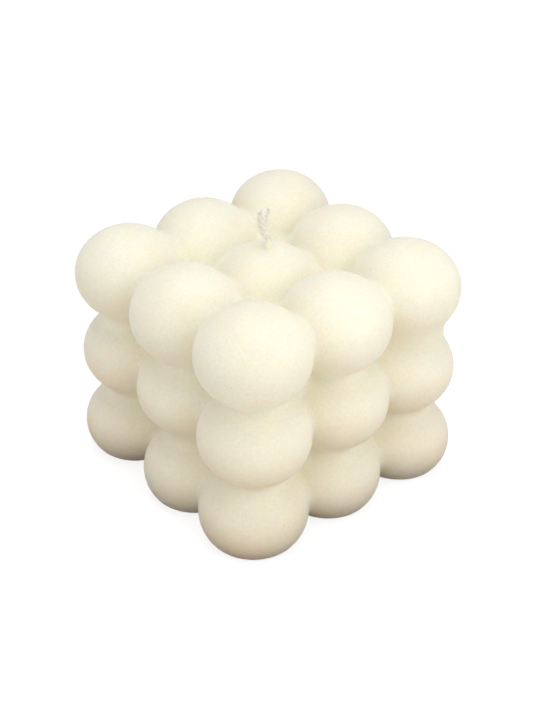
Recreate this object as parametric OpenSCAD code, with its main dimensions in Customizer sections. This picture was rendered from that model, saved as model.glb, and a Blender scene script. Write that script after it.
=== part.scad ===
// Scented bubble cube candle: three layers of three by three wax balls, merged into
// one casting that is flat below, with a braided cotton wick through its middle.
// Millimetres, +Z up, origin at the middle of the flat base.

/* [Wax balls] */
// Width of one ball
ball_w = 21.4; // [20.4:0.1:24]
// Height of one ball, a little less than its width
ball_h = 18.7; // [18.4:0.1:22]
// Distance between the columns of balls, centre to centre
pitch = 19.3; // [17:0.1:20]
// Distance between the layers of balls, centre to centre
layer = 17.7; // [15:0.1:18]
// How far the middle ball of the top layer lies below its neighbours
sink = 2; // [0:0.1:4]
// Depth of wax that the flat base takes off the bottom layer
base_cut = 3.8; // [1:0.1:6]

/* [Wax between the balls] */
// Width of the waist where a ball stands on the one below it
waist_w = 11.2; // [8:0.2:14]
// How far the wax behind the side valleys reaches past the outer columns' centres
fill_out = 0.8; // [0:0.1:2.4]
// How far the wax under the top valleys reaches above the top layer's centres
fill_up = 0.8; // [0:0.1:2.4]
// Height of the collar of wax that is drawn up round the wick
collar_h = 0.9; // [0.4:0.1:2]
// Width of that collar at its foot
collar_w = 0.8; // [0.4:0.1:2]

/* [Wick] */
// Diameter of the wick where the wax holds it
root_d = 1.2; // [1:0.1:2]
// Diameter of the free braid
braid_d = 2; // [1.6:0.1:3]
// Height of the free wick above the wax
free_h = 8.6; // [5:0.1:14]
// How far the free wick leans over
lean = 1.2; // [0:0.1:2]
// How far its tip hooks back again
hook = 0.7; // [0:0.1:1]
// Direction of the lean, from +X towards +Y
lean_turn = 140; // [0:5:355]
// Strands that run each way round the braid
strands = 4; // [3:1:6]
// Length of the braid in which a strand goes once round
twist = 5; // [4:0.5:12]
// Depth of the grooves between the strands
groove = 0.2; // [0.1:0.05:0.3]

/* [Hidden] */
WAX = [1.0, 0.97, 0.88];
COTTON = [0.9, 0.88, 0.82];
RANKS = [-1, 0, 1];
LAYERS = [0, 1, 2];
TOP = len(LAYERS) - 1;
squash = ball_h / ball_w;
first_z = ball_h / 2 - base_cut;
mid_top_z = first_z + TOP * layer + ball_h / 2 - sink;
core_half = pitch + fill_out;
top_z = first_z + TOP * layer;
core_top = top_z + fill_up;
// The collar's hollow side starts this far inside the ball and ends in a thin lip
collar_foot = 0.3;
collar_lip = 0.02;
collar_steps = 8;
collar_top = mid_top_z + collar_h;
// Sides and ring spacing of the free braid
braid_sides = 8 * strands;
ring_gap = 0.17;
rings = ceil((free_h - collar_h) / ring_gap);
// Shares of the free length: where the braid has opened from its tight root, where the
// lean is complete, where the hook begins and ends, and where the tip starts to close
open_share = 0.28;
lean_share = 0.6;
hook_share = 0.75;
hook_end_share = 1.05;
tip_share = 0.9;
// Share of its width that the braid loses at its very tip
tip_loss_share = 0.5;
// How far the cut for the wick runs past the wax at each end
cut_past = 1;
ball_facets = 96;
bore_facets = 48;

function ball_sunk(i, j, k) = i == 0 && j == 0 && k == TOP ? sink : 0;
function ball_z(i, j, k) = first_z + k * layer - ball_sunk(i, j, k);

// A smooth step from 0 to 1 between a and b
function ease(a, b, t) = let (u = max(0, min(1, (t - a) / (b - a)))) u * u * (3 - 2 * u);

// All balls and the wax between them, in a space where a ball is round
module round_cluster() {
  for (i = RANKS, j = RANKS, k = LAYERS)
    translate([i * pitch, j * pitch, ball_z(i, j, k) / squash])
      sphere(d = ball_w, $fn = ball_facets);
  for (i = RANKS, j = RANKS)
    translate([i * pitch, j * pitch, 0])
      cylinder(d = waist_w, h = ball_z(i, j, TOP) / squash, $fn = ball_facets);
  translate([-core_half, -core_half, 0])
    cube([2 * core_half, 2 * core_half, core_top / squash]);
}

// Wax that climbed the wick while it set, hollow-sided, from inside the ball upwards
module collar() {
  lip_r = root_d / 2 + collar_lip;
  foot_z = mid_top_z - collar_foot;
  side = [
    for (s = [0 : collar_steps])
      let (a = 90 * s / collar_steps)
      [lip_r + collar_w * (1 - sin(a)), foot_z + (collar_top - foot_z) * (1 - cos(a))]];
  rotate_extrude($fn = bore_facets)
    polygon(concat([[0, top_z], [lip_r + collar_w, top_z]], side, [[0, collar_top]]));
}

module wax_body() {
  color(WAX)
    difference() {
      union() {
        intersection() {
          scale([1, 1, squash])
            round_cluster();
          translate([-2 * pitch, -2 * pitch, 0])
            cube([4 * pitch, 4 * pitch, 4 * layer]);
        }
        collar();
      }
      translate([0, 0, -cut_past])
        cylinder(d = root_d, h = collar_top + 2 * cut_past, $fn = bore_facets);
    }
}

// The free wick's middle line: it leans over low down and hooks back at its tip
function line_out(t) = lean * ease(0, lean_share, t) - hook * ease(hook_share, hook_end_share, t);
function line_at(t) = [
  line_out(t) * cos(lean_turn), line_out(t) * sin(lean_turn), collar_top + (free_h - collar_h) * t];
// Radius of the braid along its length: a tight root, the full braid, a closing tip
function bundle(t) =
  (root_d + (braid_d - root_d) * ease(0, open_share, t)) / 2
  * (1 - tip_loss_share * ease(tip_share, 1, t));
// Two families of strands wind opposite ways, and the higher one shows
function strand_rise(a, z) =
  let (along = 360 * strands * z / twist)
  max(cos(strands * a - along), cos(strands * a + along));
function braid_radius(a, t) =
  bundle(t) - groove * ease(0, open_share, t) * (1 - strand_rise(a, t * free_h)) / 2;
function ring(t) = [
  for (s = [0 : braid_sides - 1])
    let (a = 360 * s / braid_sides)
    line_at(t) + braid_radius(a, t) * [cos(a), sin(a), 0]];
function plain_ring(z) = [
  for (s = [0 : braid_sides - 1])
    let (a = 360 * s / braid_sides)
    [root_d / 2 * cos(a), root_d / 2 * sin(a), z]];

module wick() {
  n = braid_sides;
  stack = concat([plain_ring(0)], [for (r = [0 : rings]) ring(r / rings)]);
  last = len(stack) - 1;
  points = [for (r = stack, p = r) p];
  walls = [
    for (r = [0 : last - 1], s = [0 : n - 1])
      let (a = r * n + s, b = r * n + (s + 1) % n)
      [a, a + n, b + n, b]];
  foot = [for (s = [0 : n - 1]) s];
  tip = [for (s = [n - 1 : -1 : 0]) last * n + s];
  color(COTTON)
    polyhedron(points = points, faces = concat([foot, tip], walls), convexity = 4);
}

wax_body();
wick();
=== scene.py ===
import math
import random

import bmesh
import bpy
import numpy as np
from mathutils import Matrix, Vector


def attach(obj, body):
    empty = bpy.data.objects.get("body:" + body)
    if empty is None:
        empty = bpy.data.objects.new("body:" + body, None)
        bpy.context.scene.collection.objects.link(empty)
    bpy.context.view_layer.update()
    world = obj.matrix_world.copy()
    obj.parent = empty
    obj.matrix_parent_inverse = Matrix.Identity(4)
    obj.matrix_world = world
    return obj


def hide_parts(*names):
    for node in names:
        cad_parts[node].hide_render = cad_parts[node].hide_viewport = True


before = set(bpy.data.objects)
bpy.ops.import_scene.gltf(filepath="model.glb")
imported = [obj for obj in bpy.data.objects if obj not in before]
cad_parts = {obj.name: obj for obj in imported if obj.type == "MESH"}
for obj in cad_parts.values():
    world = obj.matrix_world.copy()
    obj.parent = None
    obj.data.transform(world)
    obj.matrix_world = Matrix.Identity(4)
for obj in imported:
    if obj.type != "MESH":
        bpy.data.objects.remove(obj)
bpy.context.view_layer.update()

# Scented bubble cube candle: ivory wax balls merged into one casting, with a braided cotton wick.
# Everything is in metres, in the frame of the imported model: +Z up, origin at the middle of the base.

# Sizes of the casting, as in the model's source. TOP is the number of the top layer, and each
# layer has as many balls as there are columns.
COLUMNS = 9
BALL_W = 0.0214
BALL_H = 0.0187
PITCH = 0.0193
LAYER = 0.0177
SINK = 0.002
BASE_CUT = 0.0038
WAIST_R = 0.0056
# One waist came out fuller than the others: its radius, its column and the layer below it
FULL_WAIST_R = 0.0076
FULL_WAIST_AT = (1, -1, 1)
FILL_OUT = 0.0008
FILL_UP = 0.0008
TOP = 2
FIRST_Z = BALL_H / 2 - BASE_CUT
APEX_Z = FIRST_Z + TOP * LAYER + BALL_H / 2 - SINK

# Softness of the casting
FILLET = 0.0014
FILL_ROUND = 0.0004
RIM_BLEND = 0.0006

# Mesh of the wax: a coarse skin, made finer in two steps, each within this distance of a crease.
# The grid starts a little off the base, so that no grid point lies in its face.
SKIN_CELL = 0.00115
GRID_MARGIN = 2 * SKIN_CELL
GRID_SHIFT = 0.13 * SKIN_CELL
FINE_STEPS = (0.0018, 0.0009)
# How far off a slope is measured, and the least slope and squared slope that are divided by
PROBE = 1e-5
LEAST_SLOPE = 1e-6
LEAST_SLOPE_SQUARE = 0.05

# Wick: a plain root in the wax, and an open braid above it that leans out and curls back.
# Spans are shares of the length of the free wick.
ROOT_R = 0.0006
BRAID_R = 0.001
COLLAR_H = 0.0009
COLLAR_TOP = APEX_Z + COLLAR_H
COLLAR_LIP_R = 0.00066
COLLAR_W = 0.0003
COLLAR_FOOT = 0.0003
COLLAR_ROOT = 0.003
COLLAR_RISE = 0.0005
COAT_H = 0.0006
COLLAR_STEPS = 20
COLLAR_SIDES = 64
# Swellings of the collar: waves all round, size as a share, and phase
COLLAR_WAVES = ((2, 0.06, 0.7), (3, 0.09, 2.1), (5, 0.04, 4.0))
WICK_LEN = 0.0077
LEAN_TURN = math.radians(140)
LEAN_ANGLE = math.radians(28)
LEAN_RISE = (0.08, 0.24)
LEAN_FALL = (0.3, 0.62)
CURL_ANGLE = math.radians(95)
CURL_SPAN = (0.74, 1.02)
OPEN_SPAN = (0.12, 0.34)
CLOSE_SPAN = (0.86, 1.0)
CLOSE_LOSS = 0.35
STRANDS = 4
TWIST = 0.005
WEAVE = 0.00013
STRAND_HALF_W = 0.00027
STRAND_HALF_T = 0.00019
FIBRE_LOBES = 6
LOBE_DEPTH = 0.13
LOBE_TWIST = 0.0012
STRAND_STEP = 0.00007
STRAND_SIDES = 24
STRAND_TAPER = 0.5
TAPER_BEFORE = 0.0006
TAPER_BEYOND = 0.0002
CUT_SPREAD = (-0.0003, 0.0002)
BRAID_SEED = 11
ROUTE_STEP = 0.00002
ROUTE_SPARE = 0.001

# Core of the wick: it widens over a short length below the collar and ends short of the tip
CORE_WIDENING = 0.0006
CORE_END = WICK_LEN - 0.0003
CORE_INSET = 1.5 * STRAND_HALF_T
CORE_SIDES = 32
ROOT_RINGS = 40
CORE_RINGS = 60

# Loose fibres along the braid, and a tuft at its cut end
FIBRE_RINGS = 7
FIBRE_SIDES = 5
FIBRE_TAPER = 0.8
FUZZ_SEED = 12
FUZZ_COUNT = 70
FUZZ_R = 0.00001
FUZZ_SPAN = (0.1, 0.97)
FUZZ_DEPTH = 0.8
FUZZ_OUTWARD = (0.5, 1.0)
FUZZ_ALONG = (0.2, 0.6)
FUZZ_LENGTH = (0.0002, 0.0006)
FUZZ_BEND = (0.2, 0.7)
TUFT_COUNT = 110
TUFT_R = 2 * FUZZ_R
TUFT_SPREAD = (0.0, 0.75)
TUFT_OUTWARD = (0.0, 0.5)
TUFT_LENGTH = (0.0003, 0.0007)
TUFT_BEND = (0.1, 0.4)
ALONG_STEP = 0.0001

# Channel for the wick in the visual wax: it ends out of sight, well below the top
BORE_SIDES = 48
BORE_PAST = 0.001
BORE_TOP = APEX_Z - 0.008

# Camera, fitted to the outlines of the balls in the photograph
VIEW_AZ = math.radians(-39.93)
VIEW_EL = math.radians(34.37)
VIEW_ROLL = math.radians(0.54)
VIEW_DIST = 12.2939 * PITCH
VIEW_RIGHT = 0.029 * PITCH
VIEW_UP = -0.0519 * PITCH
SENSOR = 36.0
FOCAL_PIXELS = 1166.6
PHOTO_HEIGHT = 720
CLIP_START = 0.01
CLIP_END = 10.0

# Wax: colours, sizes of its blots in metres, and depths of its relief
WAX_WARM = (0.905, 0.856, 0.708)
WAX_PALE = (0.934, 0.908, 0.772)
WAX_MOTTLE_COLOR = (0.928, 0.868, 0.703)
WAX_GRAIN_SHADE = (0.93, 0.93, 0.93)
WHITE = (1.0, 1.0, 1.0)
# Colour of the painted shade in the tiny pores, whose pits are only a bump
WAX_PORE_SHADE = (0.35, 0.30, 0.22)
WAX_CLOUD = 0.011
WAX_MOTTLE = 0.0016
WAX_GRAIN = 0.0005
WAX_RIPPLE = 0.0025
MOTTLE_SHARE = 0.5
CLOUD_SPAN = (0.3, 0.7)
MOTTLE_SPAN = (0.35, 0.65)
GRAIN_SPAN = (0.3, 0.7)
ROUGHNESS_SPAN = (0.3, 0.7)
# Detail and roughness of the mottle's and the grain's noise
MOTTLE_NOISE = (3.0, 0.6)
GRAIN_NOISE = (2.0, 0.7)
GRAIN_DEPTH = 0.00003
RIPPLE_DEPTH = 0.00004
WAX_ROUGHNESS = (0.48, 0.62)
WAX_IOR = 1.44
WAX_SCATTER = 0.8
WAX_SCATTER_RGB = (1.0, 0.7, 0.4)
WAX_SCATTER_REACH = 0.0022
PORE_SPACING = 0.0022
PORE_CORE = 0.04
PORE_EDGE = 0.085
PORE_SHARE = 0.08
# How far the painted shade of the pores is mixed in
PORE_SHADE_SHARE = 0.3

# Cotton of the wick
COTTON_SHADE = (0.90, 0.845, 0.735)
COTTON_PALE = (0.95, 0.915, 0.84)
COTTON_FIBRE = 0.0001
COTTON_NOISE = (3.0, 0.6)
COTTON_SPAN = (0.3, 0.7)
COTTON_WAX_PATCH = 0.0008
COTTON_WAX_SPAN = (0.4, 0.7)
COTTON_WAX_SHARE = 0.5
COTTON_DRY_ROUGHNESS = 0.75
COTTON_WAXED_ROUGHNESS = 0.5
COTTON_DEPTH = 0.00003
COTTON_RELIEF = 0.6
COTTON_SCATTER = 0.15
COTTON_SCATTER_RGB = (1.0, 0.9, 0.8)
COTTON_SCATTER_REACH = 0.0003

# Floor, world and lamps. The floor lies just under the base, so that the two faces don't meet.
FLOOR_HALF = 1.5
FLOOR_Z = -0.00002
# Colours of the floor for the light it gives back to the object. This is painted shade: dark under the
# base and brown beside it, standing in for a brown table in the candle's shadow, and pale beyond.
FLOOR_SHADE_DARK = (0.12, 0.045, 0.0)
FLOOR_SHADE_BROWN = (0.56, 0.27, 0.0)
FLOOR_PALE = (0.92, 0.91, 0.87)
FLOOR_SHADE_INNER_SPAN = (0.038, 0.05)
FLOOR_SHADE_OUTER_SPAN = (0.05, 0.07)
FLOOR_SHADOW = 0.35
FLOOR_GLOW = 0.78
FLOOR_FADE_SPAN = (0.15, 0.5)
STUDIO_LEVEL = 0.6
LAMP_AIM = Vector((0, 0, 0.03))
# Each lamp: turn from the camera's side and height above level in degrees, distance, width, watts
LAMPS = {
    "key": (45, 30, 0.2, 0.16, 0.133),
    "fill": (315, 30, 0.2, 0.16, 0.064),
    "top": (0, 90, 0.6, 0.4, 1.02),
    "back": (180, 60, 0.6, 0.4, 0.31),
}

# How far single balls of the casting lie off their nominal places
NUDGES = {
    (-1, -1, 0): (0.0005, 0.0005, -0.0001),
    (-1, 0, 0): (0.0, -0.0011, -0.0004),
    (-1, 1, 0): (-0.0003, 0.0004, 0.0001),
    (0, -1, 0): (-0.0001, 0.0001, 0.0),
    (1, -1, 0): (0.0, -0.0003, -0.0001),
    (-1, -1, 1): (0.0, -0.0004, 0.001),
    (-1, 0, 1): (0.0004, 0.0001, 0.0008),
    (-1, 1, 1): (0.0003, -0.0001, 0.0001),
    (0, -1, 1): (0.0003, -0.0003, 0.0),
    (1, -1, 1): (-0.0003, 0.0002, -0.0001),
    (-1, -1, 2): (0.0, 0.0, 0.0006),
    (-1, 0, 2): (-0.0002, 0.0001, -0.0002),
    (-1, 1, 2): (0.0001, 0.0001, 0.0),
    (0, -1, 2): (0.0, -0.0001, -0.0003),
    (0, 0, 2): (-0.0002, 0.0002, 0.0),
    (0, 1, 2): (-0.0006, 0.0002, -0.0003),
    (1, -1, 2): (-0.0002, 0.0006, 0.0),
    (1, 0, 2): (0.0, -0.0002, -0.0003),
    (1, 1, 2): (-0.0001, -0.0001, 0.0003),
}


def ball_centres():
    """Middle of each ball, layer by layer from the base."""
    centres = []
    for k in range(TOP + 1):
        for j in (-1, 0, 1):
            for i in (-1, 0, 1):
                sunk = SINK if (i, j, k) == (0, 0, TOP) else 0.0
                nudge = NUDGES.get((i, j, k), (0.0, 0.0, 0.0))
                place = (i * PITCH, j * PITCH, FIRST_Z + k * LAYER - sunk)
                centres.append([p + n for p, n in zip(place, nudge)])
    return np.array(centres)


CENTRES = ball_centres()
RADII = np.array((BALL_W / 2, BALL_W / 2, BALL_H / 2))


def ball_distances(points):
    """Distance of each point from each ball, one row a ball; exact near the surface."""
    rows = []
    for centre in CENTRES:
        offset = points - centre
        near = np.linalg.norm(offset / RADII, axis=1)
        slope = np.linalg.norm(offset / RADII ** 2, axis=1)
        rows.append(near * (near - 1) / np.maximum(slope, LEAST_SLOPE))
    return np.array(rows)


def round_union(rows, radius):
    """Distance of the union of several forms, with a fillet of this radius between them."""
    press = np.maximum(radius - rows, 0)
    return np.maximum(rows.min(axis=0), radius) - np.sqrt((press ** 2).sum(axis=0))


def box_distance(points, low, high, rounding):
    """Distance of each point from a box with rounded edges."""
    middle = (low + high) / 2
    half = (high - low) / 2 - rounding
    q = np.abs(points - middle) - half
    outside = np.linalg.norm(np.maximum(q, 0), axis=1)
    return outside + np.minimum(q.max(axis=1), 0) - rounding


def waist_distances(points):
    """Distance of each point from the waists of each column, one row a column."""
    top = points[:, 2] - (FIRST_Z + TOP * LAYER - SINK)
    rows = []
    for x, y, _ in CENTRES[:COLUMNS]:
        across = np.hypot(points[:, 0] - x, points[:, 1] - y) - WAIST_R
        rows.append(np.maximum(across, top))
    return np.array(rows)


def full_waist_distance(points):
    """The one waist that is fuller than the others, from the middle of a ball to the next."""
    i, j, k = FULL_WAIST_AT
    across = np.hypot(points[:, 0] - i * PITCH, points[:, 1] - j * PITCH) - FULL_WAIST_R
    beside = np.abs(points[:, 2] - FIRST_Z - (k + 0.5) * LAYER) - LAYER / 2
    return np.maximum(across, beside)


def fill_distance(points):
    """The wax behind the valleys between the balls."""
    reach = PITCH + FILL_OUT
    low = np.array((-reach, -reach, -reach))
    high = np.array((reach, reach, FIRST_Z + TOP * LAYER + FILL_UP))
    return box_distance(points, low, high, FILL_ROUND)


def form_distances(points):
    """Distance of each point from all forms of the casting, one row a form."""
    return np.vstack((
        ball_distances(points),
        waist_distances(points),
        full_waist_distance(points),
        fill_distance(points),
    ))


def wax_distance(points):
    """Distance from the casting: its forms with fillets between them, cut flat at the base."""
    body = round_union(form_distances(points), FILLET)
    return -round_union(np.array((-body, points[:, 2])), RIM_BLEND)


def crease_gap(points):
    """How far a point on the skin is from the nearest crease, roughly."""
    rows = np.sort(form_distances(points), axis=0)
    gap = np.minimum(rows[1] - rows[0], points[:, 2])
    beside_collar = np.hypot(points[:, 0], points[:, 1]) - COLLAR_LIP_R - COLLAR_W
    return np.minimum(gap, beside_collar + np.maximum(APEX_Z - COLLAR_ROOT - points[:, 2], 0))


def settle(points, rounds=3):
    """Moves points along the slope of the wax distance until they lie on its surface."""
    for _ in range(rounds):
        here = wax_distance(points)
        slope = np.empty_like(points)
        for axis in range(3):
            shift = np.zeros(3)
            shift[axis] = PROBE
            rise = wax_distance(points + shift) - wax_distance(points - shift)
            slope[:, axis] = rise / (2 * PROBE)
        size = np.maximum((slope ** 2).sum(axis=1), LEAST_SLOPE_SQUARE)
        points = points - (here / size)[:, None] * slope
    return points


def net_points(field):
    """One point in each grid cell that the zero level crosses, in cells, and its number there."""
    cells = np.array(field.shape) - 1
    total = np.zeros((*cells, 3))
    hits = np.zeros(cells)
    corners = [(i, j, k) for i in (0, 1) for j in (0, 1) for k in (0, 1)]

    def corner(c):
        return field[c[0]:c[0] + cells[0], c[1]:c[1] + cells[1], c[2]:c[2] + cells[2]]

    for a in corners:
        for axis in range(3):
            if a[axis]:
                continue
            b = tuple(1 if n == axis else a[n] for n in range(3))
            fa, fb = corner(a), corner(b)
            cross = (fa < 0) != (fb < 0)
            share = np.where(cross, fa / np.where(cross, fa - fb, 1), 0)
            place = np.array(a, float) + share[..., None] * (np.array(b) - np.array(a))
            total += np.where(cross[..., None], place, 0)
            hits += cross
    used = hits > 0
    index = np.full(cells, -1)
    index[used] = np.arange(used.sum())
    return np.argwhere(used) + total[used] / hits[used][:, None], index


def net_quads(field, index):
    """A quad across each grid edge that the zero level crosses, turned outward."""
    quads = []
    for axis in range(3):
        u, v = (axis + 1) % 3, (axis + 2) % 3
        a = field
        b = np.roll(field, -1, axis)
        sign = (a < 0).astype(int) - (b < 0).astype(int)
        sign[tuple(slice(-1, None) if n == axis else slice(None) for n in range(3))] = 0
        spots = np.argwhere(sign)
        back_u, back_v = np.eye(3, dtype=int)[u], np.eye(3, dtype=int)[v]
        ring = [spots, spots - back_u, spots - back_u - back_v, spots - back_v]
        quad = np.stack([index[tuple(r.T)] for r in ring], axis=1)
        flip = sign[tuple(spots.T)] < 0
        quad[flip] = quad[flip][:, ::-1]
        quads.append(quad)
    return np.concatenate(quads)


def surface_net(distance, low, high, cell):
    """Quads round the zero level of a distance, one vertex in each grid cell that it crosses."""
    counts = np.ceil((high - low) / cell).astype(int) + 1
    axes = [low[a] + cell * np.arange(counts[a]) for a in range(3)]
    grid = np.stack(np.meshgrid(*axes, indexing="ij"), axis=-1)
    field = distance(grid.reshape(-1, 3)).reshape(counts)
    places, index = net_points(field)
    return low + cell * places, net_quads(field, index)


def relax(points, quads, rounds=4):
    """Evens out the quads: each point moves halfway to its neighbours, and back to the surface."""
    pairs = np.concatenate([quads[:, (n, (n + 1) % 4)] for n in range(4)])
    for _ in range(rounds):
        total = np.zeros_like(points)
        count = np.zeros(len(points))
        np.add.at(total, pairs[:, 0], points[pairs[:, 1]])
        np.add.at(count, pairs[:, 0], 1)
        points = settle(0.5 * points + 0.5 * total / count[:, None], 1)
    return points


def new_object(name, points, faces):
    """A mesh object in the scene."""
    mesh = bpy.data.meshes.new(name)
    mesh.from_pydata([tuple(p) for p in points], [], [tuple(int(n) for n in f) for f in faces])
    mesh.validate()
    obj = bpy.data.objects.new(name, mesh)
    bpy.context.scene.collection.objects.link(obj)
    return obj


def tube_faces(rings, sides):
    """Faces of a closed tube whose points run ring by ring."""
    faces = []
    for n in range(rings - 1):
        for k in range(sides):
            a, b = n * sides + k, n * sides + (k + 1) % sides
            faces.append((a, b, b + sides, a + sides))
    last = (rings - 1) * sides
    faces.append(tuple(range(sides - 1, -1, -1)))
    faces.append(tuple(range(last, last + sides)))
    return faces


def refine(mesh, reach):
    """Cuts the faces near a crease into four and settles their corners on the wax surface."""
    bm = bmesh.new()
    bm.from_mesh(mesh)
    bm.verts.ensure_lookup_table()
    points = np.array([v.co for v in bm.verts])
    near = crease_gap(points) < reach
    edges = [e for e in bm.edges if near[e.verts[0].index] and near[e.verts[1].index]]
    bmesh.ops.subdivide_edges(bm, edges=edges, cuts=1, use_grid_fill=True)
    bm.verts.ensure_lookup_table()
    points = settle(np.array([v.co for v in bm.verts]), 2)
    for v, p in zip(bm.verts, points):
        v.co = p
    bm.to_mesh(mesh)
    bm.free()


def make_wax():
    """The whole casting as one closed mesh, with the collar joined on and the channel cut."""
    side = PITCH + BALL_W / 2 + GRID_MARGIN
    low = np.array((-side, -side, -GRID_MARGIN - GRID_SHIFT))
    high = np.array((side, side, FIRST_Z + TOP * LAYER + BALL_H / 2 + GRID_MARGIN))
    points, quads = surface_net(wax_distance, low, high, SKIN_CELL)
    points = relax(settle(points), quads)
    wax = new_object("wax_casting", points, quads)
    for reach in FINE_STEPS:
        refine(wax.data, reach)
    combine(wax, make_collar(), "UNION")
    combine(wax, make_drill(ROOT_R, -BORE_PAST, BORE_TOP, BORE_SIDES), "DIFFERENCE")
    wax.data.shade_smooth()
    return wax


def collar_side():
    """Radius and height of the collar from its foot up, with the thin coat of wax above it."""
    foot = APEX_Z - COLLAR_FOOT
    lip = COLLAR_TOP + COLLAR_RISE
    side = [(COLLAR_LIP_R + COLLAR_W, APEX_Z - COLLAR_ROOT)]
    for n in range(COLLAR_STEPS + 1):
        a = math.pi / 2 * n / COLLAR_STEPS
        radius = COLLAR_LIP_R + COLLAR_W * (1 - math.sin(a))
        side.append((radius, foot + (lip - foot) * (1 - math.cos(a))))
    side.append((COLLAR_LIP_R, lip + COAT_H))
    side.append((ROOT_R, lip + COAT_H + (COLLAR_LIP_R - ROOT_R) / 2))
    return side


def collar_swell(turn):
    """How much the collar stands out at this turn, as a share of its thickness."""
    return sum(size * math.cos(waves * turn + phase) for waves, size, phase in COLLAR_WAVES)


def make_collar():
    """Wax drawn up round the root of the wick: hollow-sided, a little uneven all round."""
    side = collar_side()
    verts = []
    for r, z in side:
        for k in range(COLLAR_SIDES):
            turn = 2 * math.pi * k / COLLAR_SIDES
            wide = r + (r - ROOT_R) * collar_swell(turn)
            verts.append((wide * math.cos(turn), wide * math.sin(turn), z))
    return new_object("collar", verts, tube_faces(len(side), COLLAR_SIDES))


def make_drill(radius, low, high, sides):
    """A plain upright round tool on the axis."""
    turns = [2 * math.pi * k / sides for k in range(sides)]
    verts = [(radius * math.cos(t), radius * math.sin(t), z) for z in (low, high) for t in turns]
    return new_object("drill", verts, tube_faces(2, sides))


def combine(obj, tool, operation):
    """Joins a closed tool to a closed object, or cuts it away, and deletes the tool."""
    step = obj.modifiers.new("combine", "BOOLEAN")
    step.operation = operation
    step.solver = "EXACT"
    step.object = tool
    graph = bpy.context.evaluated_depsgraph_get()
    result = bpy.data.meshes.new_from_object(obj.evaluated_get(graph))
    obj.modifiers.clear()
    obj.data = result
    bpy.data.objects.remove(tool)


def ease(a, b, t):
    """A smooth step from 0 to 1 between a and b."""
    u = min(1.0, max(0.0, (t - a) / (b - a)))
    return u * u * (3 - 2 * u)


def wick_tilt(s):
    """Angle of the wick from the vertical, s metres along it from the top of the collar."""
    t = s / WICK_LEN
    lean = LEAN_ANGLE * ease(*LEAN_RISE, t) * (1 - ease(*LEAN_FALL, t))
    return lean - CURL_ANGLE * ease(*CURL_SPAN, t)


# The route of the wick's middle line, summed up in short steps
ROUTE_S = np.arange(0, WICK_LEN + ROUTE_SPARE, ROUTE_STEP)
ROUTE_TILT = np.array([wick_tilt(s) for s in ROUTE_S])
ROUTE_OUT = np.cumsum(np.sin(ROUTE_TILT)) * ROUTE_STEP
ROUTE_UP = np.cumsum(np.cos(ROUTE_TILT)) * ROUTE_STEP
LEAN_DIR = np.array((math.cos(LEAN_TURN), math.sin(LEAN_TURN), 0.0))
SIDE_DIR = np.array((-math.sin(LEAN_TURN), math.cos(LEAN_TURN), 0.0))
UP = np.array((0.0, 0.0, 1.0))


def wick_frame(s):
    """Middle of the wick and two directions square to it, s metres above the collar."""
    tilt = wick_tilt(max(s, 0.0))
    out = np.interp(s, ROUTE_S, ROUTE_OUT, left=0.0)
    up = COLLAR_TOP + (np.interp(s, ROUTE_S, ROUTE_UP) if s > 0 else s)
    across = math.cos(tilt) * LEAN_DIR - math.sin(tilt) * UP
    return out * LEAN_DIR + up * UP, across, SIDE_DIR


def opened(s):
    """How far the tight root has opened into the full braid: 0 to 1."""
    return ease(*OPEN_SPAN, s / WICK_LEN)


def bundle(s):
    """Outer radius of the braid."""
    full = ROOT_R + (BRAID_R - ROOT_R) * opened(s)
    return full * (1 - CLOSE_LOSS * ease(*CLOSE_SPAN, s / WICK_LEN))


def on_wick(s, turn, radius):
    """A point beside the middle of the wick, and the outward direction there."""
    middle, across, side = wick_frame(s)
    outward = math.cos(turn) * across + math.sin(turn) * side
    return middle + radius * outward, outward


def sweep(points, outwards, widths, heights, sides, lobes=0, lobe_depth=0.0, lobe_turns=0.0):
    """Closed tube of oval rings, as vertices and faces; the oval's height points outward."""
    points = np.array(points)
    along = np.gradient(points, axis=0)
    along /= np.linalg.norm(along, axis=1)[:, None]
    verts = []
    for n, (middle, outward) in enumerate(zip(points, outwards)):
        outward = outward - along[n] * outward.dot(along[n])
        outward /= np.linalg.norm(outward)
        side = np.cross(outward, along[n])
        phase = 2 * math.pi * lobe_turns * n / (len(points) - 1)
        for k in range(sides):
            a = 2 * math.pi * k / sides
            swell = 1 + lobe_depth * math.cos(lobes * a + phase)
            wide = widths[n] * math.cos(a) * side
            high = heights[n] * math.sin(a) * outward
            verts.append(middle + swell * (wide + high))
    return verts, tube_faces(len(points), sides)


def joined(name, tubes):
    """One object of several swept tubes."""
    verts, faces = [], []
    for ring_points, polygons in tubes:
        base = len(verts)
        verts += ring_points
        faces += [tuple(base + n for n in polygon) for polygon in polygons]
    obj = new_object(name, verts, faces)
    obj.data.shade_smooth()
    return obj


def braid_strand(way, number, start, end):
    """One strand: it winds round the wick and goes over and under the strands that cross it."""
    steps = np.linspace(start, end, int((end - start) / STRAND_STEP))
    points, outwards, widths, heights = [], [], [], []
    for s in steps:
        turn = 2 * math.pi * (way * s / TWIST + number / STRANDS)
        size = bundle(s) / BRAID_R
        over = way * WEAVE * math.cos(2 * math.pi * STRANDS * s / TWIST) * opened(s)
        taper = 1 - STRAND_TAPER * ease(end - TAPER_BEFORE, end + TAPER_BEYOND, s)
        high = STRAND_HALF_T * size * taper
        point, outward = on_wick(s, turn, bundle(s) - high - WEAVE * opened(s) + over)
        points.append(point)
        outwards.append(outward)
        widths.append(STRAND_HALF_W * size * taper)
        heights.append(high)
    turns = (end - start) / LOBE_TWIST
    return sweep(points, outwards, widths, heights, STRAND_SIDES, FIBRE_LOBES, LOBE_DEPTH, turns)


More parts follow.
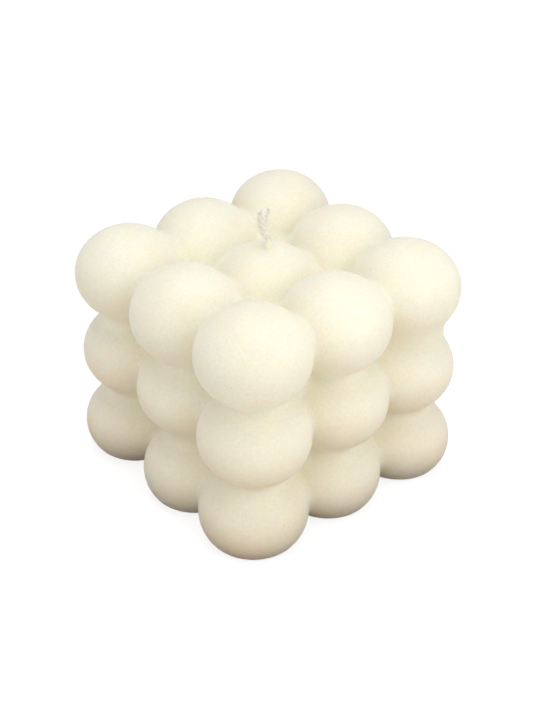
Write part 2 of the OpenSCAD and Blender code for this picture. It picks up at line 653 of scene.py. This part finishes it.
def make_braid(seed):
    """The free braid: as many strands one way round as the other, cut off unevenly at the tip."""
    draw = random.Random(seed)
    tubes = []
    for way in (1, -1):
        for number in range(STRANDS):
            end = WICK_LEN + draw.uniform(*CUT_SPREAD)
            tubes.append(braid_strand(way, number, -COLLAR_H, end))
    return joined("wick_braid", tubes)


def make_root():
    """The wick where the wax holds it, and the core inside the braid."""
    narrow = -COLLAR_H
    steps = np.concatenate((
        np.linspace(-COLLAR_TOP, narrow - CORE_WIDENING, ROOT_RINGS),
        np.linspace(narrow, CORE_END, CORE_RINGS),
    ))
    points, outwards, radii = [], [], []
    for s in steps:
        point, outward = on_wick(s, 0.0, 0.0)
        points.append(point)
        outwards.append(outward)
        radii.append(ROOT_R if s < narrow else bundle(s) - CORE_INSET)
    return joined("wick_root", [sweep(points, outwards, radii, radii, CORE_SIDES)])


def loose_fibre(draw, start, direction, length, radius, bend):
    """A thin curved hair that tapers off."""
    drift = Vector((draw.gauss(0, 1), draw.gauss(0, 1), draw.gauss(0, 1))).normalized()
    outward = np.array(drift.cross(direction).normalized())
    points, outwards, radii = [], [], []
    for n in range(FIBRE_RINGS):
        t = n / (FIBRE_RINGS - 1)
        offset = direction * t + drift * bend * t * t
        points.append(start + np.array(offset) * length)
        outwards.append(outward)
        radii.append(radius * (1 - FIBRE_TAPER * t))
    return sweep(points, outwards, radii, radii, FIBRE_SIDES)


def wick_heading(low, high):
    """Direction of the wick from one place on its middle line to another."""
    return Vector(wick_frame(high)[0] - wick_frame(low)[0]).normalized()


def fuzz_fibre(draw):
    """A fibre that sticks out of the braid's side."""
    s = draw.uniform(*FUZZ_SPAN) * WICK_LEN
    start, outward = on_wick(s, draw.uniform(0, 2 * math.pi), FUZZ_DEPTH * bundle(s))
    away = Vector(outward * draw.uniform(*FUZZ_OUTWARD))
    direction = away + wick_heading(s, s + ALONG_STEP) * draw.gauss(*FUZZ_ALONG)
    length = draw.uniform(*FUZZ_LENGTH)
    bend = draw.uniform(*FUZZ_BEND)
    return loose_fibre(draw, start, direction.normalized(), length, FUZZ_R, bend)


def tuft_fibre(draw):
    """A fibre that sticks out of the braid's cut end."""
    turn = draw.uniform(0, 2 * math.pi)
    start, outward = on_wick(CORE_END, turn, draw.uniform(*TUFT_SPREAD) * bundle(CORE_END))
    away = Vector(outward) * draw.uniform(*TUFT_OUTWARD)
    direction = wick_heading(CORE_END - ALONG_STEP, CORE_END) + away
    length = draw.uniform(*TUFT_LENGTH)
    bend = draw.uniform(*TUFT_BEND)
    return loose_fibre(draw, start, direction.normalized(), length, TUFT_R, bend)


def make_fuzz(seed):
    """Loose cotton fibres along the braid, and a small tuft at its cut end."""
    draw = random.Random(seed)
    tubes = [fuzz_fibre(draw) for _ in range(FUZZ_COUNT)]
    tubes += [tuft_fibre(draw) for _ in range(TUFT_COUNT)]
    return joined("wick_fibres", tubes)


class Nodes:
    """A material or world node tree that is built by short calls."""

    def __init__(self, tree):
        self.tree = tree
        tree.nodes.clear()

    def add(self, kind, **settings):
        node = self.tree.nodes.new(kind)
        for name, value in settings.items():
            setattr(node, name, value)
        return node

    def feed(self, node, name, value):
        """Links an output to an input, or writes a constant there."""
        if isinstance(value, bpy.types.NodeSocket):
            self.tree.links.new(value, node.inputs[name])
        else:
            node.inputs[name].default_value = value

    def noise(self, place, size, detail=2.0, roughness=0.5):
        """Cloudy noise between 0 and 1 whose blots are about this size in metres."""
        node = self.add("ShaderNodeTexNoise")
        self.feed(node, "Vector", place)
        self.feed(node, "Scale", 1 / size)
        self.feed(node, "Detail", detail)
        self.feed(node, "Roughness", roughness)
        return node.outputs["Fac"]

    def math(self, operation, a, b):
        node = self.add("ShaderNodeMath", operation=operation)
        self.feed(node, 0, a)
        self.feed(node, 1, b)
        return node.outputs[0]

    def map(self, value, low, high, to_low, to_high):
        """Stretches low..high to to_low..to_high, and holds it there."""
        node = self.add("ShaderNodeMapRange")
        self.feed(node, "Value", value)
        self.feed(node, "From Min", low)
        self.feed(node, "From Max", high)
        self.feed(node, "To Min", to_low)
        self.feed(node, "To Max", to_high)
        return node.outputs["Result"]

    def ramp(self, value, low, high, color_low, color_high):
        """A colour that runs from one to the other as the value goes from low to high."""
        node = self.add("ShaderNodeValToRGB")
        first, last = node.color_ramp.elements
        first.position, last.position = low, high
        first.color, last.color = (*color_low, 1), (*color_high, 1)
        self.feed(node, "Fac", value)
        return node.outputs["Color"]

    def mix(self, share, a, b, blend="MIX"):
        node = self.add("ShaderNodeMix", data_type="RGBA", blend_type=blend)
        self.feed(node, "Factor", share)
        self.feed(node, "A", a if isinstance(a, bpy.types.NodeSocket) else (*a, 1))
        self.feed(node, "B", b if isinstance(b, bpy.types.NodeSocket) else (*b, 1))
        return node.outputs["Result"]

    def bump(self, height, depth, strength=1.0, normal=None):
        node = self.add("ShaderNodeBump")
        self.feed(node, "Height", height)
        self.feed(node, "Distance", depth)
        self.feed(node, "Strength", strength)
        if normal:
            self.feed(node, "Normal", normal)
        return node.outputs["Normal"]

    def shader(self, **inputs):
        """The main shader, with its inputs by name."""
        node = self.add("ShaderNodeBsdfPrincipled")
        for name, value in inputs.items():
            self.feed(node, name.replace("_", " "), value)
        return node.outputs["BSDF"]

    def seen_directly(self):
        """1 for what the camera sees, also by way of gloss or glass, and 0 for other light."""
        rays = self.add("ShaderNodeLightPath").outputs
        sight = self.math("MAXIMUM", rays["Is Camera Ray"], rays["Is Glossy Ray"])
        return self.math("MAXIMUM", sight, rays["Is Transmission Ray"])

    def finish(self, surface, kind="ShaderNodeOutputMaterial"):
        self.feed(self.add(kind), "Surface", surface)


def new_material(name):
    """An empty material and its nodes."""
    material = bpy.data.materials.new(name)
    material.use_nodes = True
    return material, Nodes(material.node_tree)


def wax_material():
    """Ivory wax: clouded, finely grained and slightly translucent, with a few tiny pores bumped in and
    darkened by painted shade.
    """
    material, n = new_material("ivory_wax")
    place = n.add("ShaderNodeTexCoord").outputs["Object"]
    color = n.ramp(n.noise(place, WAX_CLOUD), *CLOUD_SPAN, WAX_WARM, WAX_PALE)
    mottle = n.noise(place, WAX_MOTTLE, *MOTTLE_NOISE)
    color = n.mix(n.map(mottle, *MOTTLE_SPAN, 0.0, MOTTLE_SHARE), color, WAX_MOTTLE_COLOR)
    speck = n.noise(place, WAX_GRAIN, *GRAIN_NOISE)
    color = n.mix(1.0, color, n.ramp(speck, *GRAIN_SPAN, WAX_GRAIN_SHADE, WHITE), "MULTIPLY")
    cells = n.add("ShaderNodeTexVoronoi")
    n.feed(cells, "Vector", place)
    n.feed(cells, "Scale", 1 / PORE_SPACING)
    core = n.map(cells.outputs["Distance"], PORE_CORE, PORE_EDGE, 1.0, 0.0)
    pick = n.add("ShaderNodeSeparateColor")
    n.feed(pick, "Color", cells.outputs["Color"])
    chosen = n.math("LESS_THAN", pick.outputs[0], PORE_SHARE)
    pore = n.math("MULTIPLY", core, chosen)
    # Painted shade: the pores are darkened, as the pits themselves are only a bump
    color = n.mix(n.math("MULTIPLY", pore, PORE_SHADE_SHARE), color, WAX_PORE_SHADE)
    height = n.math("SUBTRACT", speck, pore)
    normal = n.bump(n.noise(place, WAX_RIPPLE), RIPPLE_DEPTH)
    normal = n.bump(height, GRAIN_DEPTH, 1.0, normal)
    n.finish(n.shader(
        Base_Color=color,
        Roughness=n.map(mottle, *ROUGHNESS_SPAN, *WAX_ROUGHNESS),
        IOR=WAX_IOR,
        Normal=normal,
        Subsurface_Weight=WAX_SCATTER,
        Subsurface_Radius=WAX_SCATTER_RGB,
        Subsurface_Scale=WAX_SCATTER_REACH,
    ))
    return material


def cotton_material():
    """Bleached cotton yarn with a thin coat of wax."""
    material, n = new_material("waxed_cotton")
    place = n.add("ShaderNodeTexCoord").outputs["Object"]
    fibre = n.noise(place, COTTON_FIBRE, *COTTON_NOISE)
    color = n.ramp(fibre, *COTTON_SPAN, COTTON_SHADE, COTTON_PALE)
    wax = n.map(n.noise(place, COTTON_WAX_PATCH), *COTTON_WAX_SPAN, 0.0, COTTON_WAX_SHARE)
    color = n.mix(wax, color, WAX_PALE)
    ends = (0.0, COTTON_WAX_SHARE, COTTON_DRY_ROUGHNESS, COTTON_WAXED_ROUGHNESS)
    n.finish(n.shader(
        Base_Color=color,
        Roughness=n.map(wax, *ends),
        Normal=n.bump(fibre, COTTON_DEPTH, COTTON_RELIEF),
        Subsurface_Weight=COTTON_SCATTER,
        Subsurface_Radius=COTTON_SCATTER_RGB,
        Subsurface_Scale=COTTON_SCATTER_REACH,
    ))
    return material


def floor_material():
    """Pale floor, seen white with a soft shadow; the light it gives back holds painted shade near the
    base, dark under it and brown beside it.
    """
    material, n = new_material("pale_floor")
    geometry = n.add("ShaderNodeNewGeometry")
    reach = n.add("ShaderNodeVectorMath", operation="LENGTH")
    n.feed(reach, 0, geometry.outputs["Position"])
    near = n.map(reach.outputs["Value"], *FLOOR_SHADE_INNER_SPAN, 0.0, 1.0)
    far = n.map(reach.outputs["Value"], *FLOOR_SHADE_OUTER_SPAN, 0.0, 1.0)
    # Painted shade: the floor's light on the object is dark under the base, brown beside it and pale
    # further out
    shaded_floor_tone = n.mix(far, n.mix(near, FLOOR_SHADE_DARK, FLOOR_SHADE_BROWN), FLOOR_PALE)
    bounce = n.add("ShaderNodeBsdfDiffuse")
    n.feed(bounce, "Color", shaded_floor_tone)
    shade = n.add("ShaderNodeBsdfDiffuse")
    n.feed(shade, "Color", (FLOOR_SHADOW, FLOOR_SHADOW, FLOOR_SHADOW, 1))
    glow = n.add("ShaderNodeEmission")
    n.feed(glow, "Color", (*WHITE, 1))
    n.feed(glow, "Strength", n.map(reach.outputs["Value"], *FLOOR_FADE_SPAN, FLOOR_GLOW, 1.0))
    white = n.add("ShaderNodeAddShader")
    n.feed(white, 0, shade.outputs[0])
    n.feed(white, 1, glow.outputs[0])
    both = n.add("ShaderNodeMixShader")
    n.feed(both, 0, n.seen_directly())
    n.feed(both, 1, bounce.outputs[0])
    n.feed(both, 2, white.outputs[0])
    n.finish(both.outputs[0])
    return material


def make_camera():
    """The camera at the photograph's viewing angle."""
    flat = Vector((math.cos(VIEW_AZ), math.sin(VIEW_AZ), 0))
    back = Vector((
        math.sin(VIEW_AZ) * math.cos(VIEW_EL),
        -math.cos(VIEW_AZ) * math.cos(VIEW_EL),
        math.sin(VIEW_EL),
    ))
    up = back.cross(flat)
    right = math.cos(VIEW_ROLL) * flat + math.sin(VIEW_ROLL) * up
    up = back.cross(right)
    middle = Vector((0, 0, FIRST_Z + LAYER))
    data = bpy.data.cameras.new("camera")
    data.lens = FOCAL_PIXELS / PHOTO_HEIGHT * SENSOR
    data.sensor_width = SENSOR
    data.clip_start = CLIP_START
    data.clip_end = CLIP_END
    camera = bpy.data.objects.new("camera", data)
    bpy.context.scene.collection.objects.link(camera)
    camera.location = middle + back * VIEW_DIST + right * VIEW_RIGHT + up * VIEW_UP
    camera.rotation_mode = "QUATERNION"
    turn = np.array((right, up, back)).T
    camera.rotation_quaternion = Matrix(turn.tolist()).to_quaternion()
    bpy.context.scene.camera = camera


def make_stage():
    """The floor, one large square."""
    square = ((-1, -1), (1, -1), (1, 1), (-1, 1))
    corners = [(x * FLOOR_HALF, y * FLOOR_HALF, FLOOR_Z) for x, y in square]
    floor = new_object("floor", corners, [(0, 1, 2, 3)])
    floor.data.materials.append(floor_material())


def make_world():
    """Even studio grey for the object, and plain white for what the camera sees."""
    world = bpy.data.worlds.new("studio")
    bpy.context.scene.world = world
    world.use_nodes = True
    n = Nodes(world.node_tree)
    studio = n.add("ShaderNodeBackground")
    n.feed(studio, "Strength", STUDIO_LEVEL)
    white = n.add("ShaderNodeBackground")
    n.feed(white, "Color", (*WHITE, 1))
    both = n.add("ShaderNodeMixShader")
    n.feed(both, 0, n.seen_directly())
    n.feed(both, 1, studio.outputs[0])
    n.feed(both, 2, white.outputs[0])
    n.finish(both.outputs[0], "ShaderNodeOutputWorld")


def soft_lamp(name, turn, height, distance, width, power):
    """A round soft lamp, turned from the camera's side towards its right, aimed at the object."""
    turn = math.radians(turn) + math.atan2(-math.cos(VIEW_AZ), math.sin(VIEW_AZ))
    height = math.radians(height)
    away = Vector((
        math.cos(turn) * math.cos(height),
        math.sin(turn) * math.cos(height),
        math.sin(height),
    ))
    data = bpy.data.lights.new(name, "AREA")
    data.shape = "DISK"
    data.size = width
    data.energy = power
    lamp = bpy.data.objects.new(name, data)
    bpy.context.scene.collection.objects.link(lamp)
    lamp.location = LAMP_AIM + away * distance
    lamp.rotation_mode = "QUATERNION"
    lamp.rotation_quaternion = (-away).to_track_quat("-Z", "Y")
    lamp.visible_camera = False


def make_light():
    """The world and all lamps."""
    make_world()
    for name, lamp in LAMPS.items():
        soft_lamp(name, *lamp)


scene = bpy.context.scene
scene.view_settings.view_transform = "Standard"
make_camera()
make_light()
make_stage()

wax = make_wax()
wax.data.materials.append(wax_material())
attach(wax, "root")
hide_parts("wax_body")

cotton = cotton_material()
for piece in (make_root(), make_braid(BRAID_SEED), make_fuzz(FUZZ_SEED)):
    piece.data.materials.append(cotton)
    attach(piece, "root")
    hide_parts("wick")
